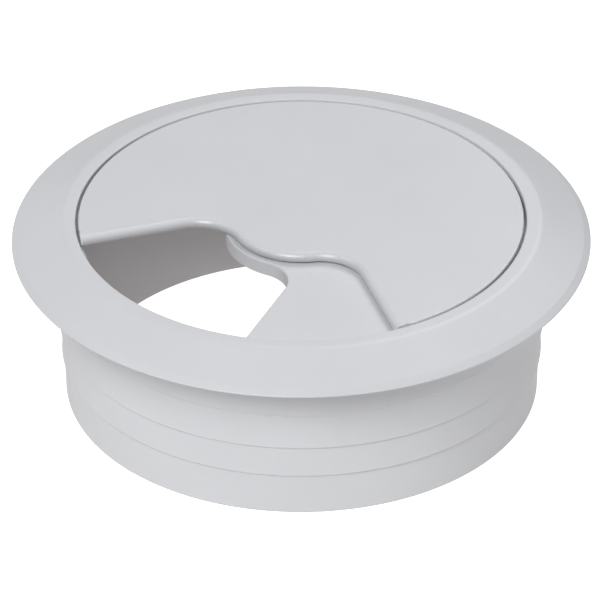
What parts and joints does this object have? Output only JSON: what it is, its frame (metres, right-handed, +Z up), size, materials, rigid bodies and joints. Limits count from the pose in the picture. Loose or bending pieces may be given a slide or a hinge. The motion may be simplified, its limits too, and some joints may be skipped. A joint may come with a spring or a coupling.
{
  "type": "desk grommet",
  "caption": "Round two-piece cable grommet for a desk top: a flanged, stepped liner and a turning cap whose notch opens or closes the cable way.",
  "frame": {"origin": "on the axis, in the plane of the flange's underside, where it bears on the desk top", "axes": "+Z up out of the desk along the axis; -X through the middle of the liner's own notch"},
  "size_m": [0.0943, 0.0942, 0.0318],
  "materials": {
    "liner_plastic": "light cool grey moulded plastic, fine satin texture",
    "cap_plastic": "light cool grey moulded plastic, fine satin texture"
  },
  "bodies": {
    "liner": {"liner": "liner_plastic"},
    "cap": {"cap": "cap_plastic"}
  },
  "joints": [
    {"name": "cap_turn", "type": "hinge", "parent": "liner", "child": "cap", "pos_m": [0, 0, 0.00235], "axis": [0, 0, 1], "continuous": true}
  ]
}
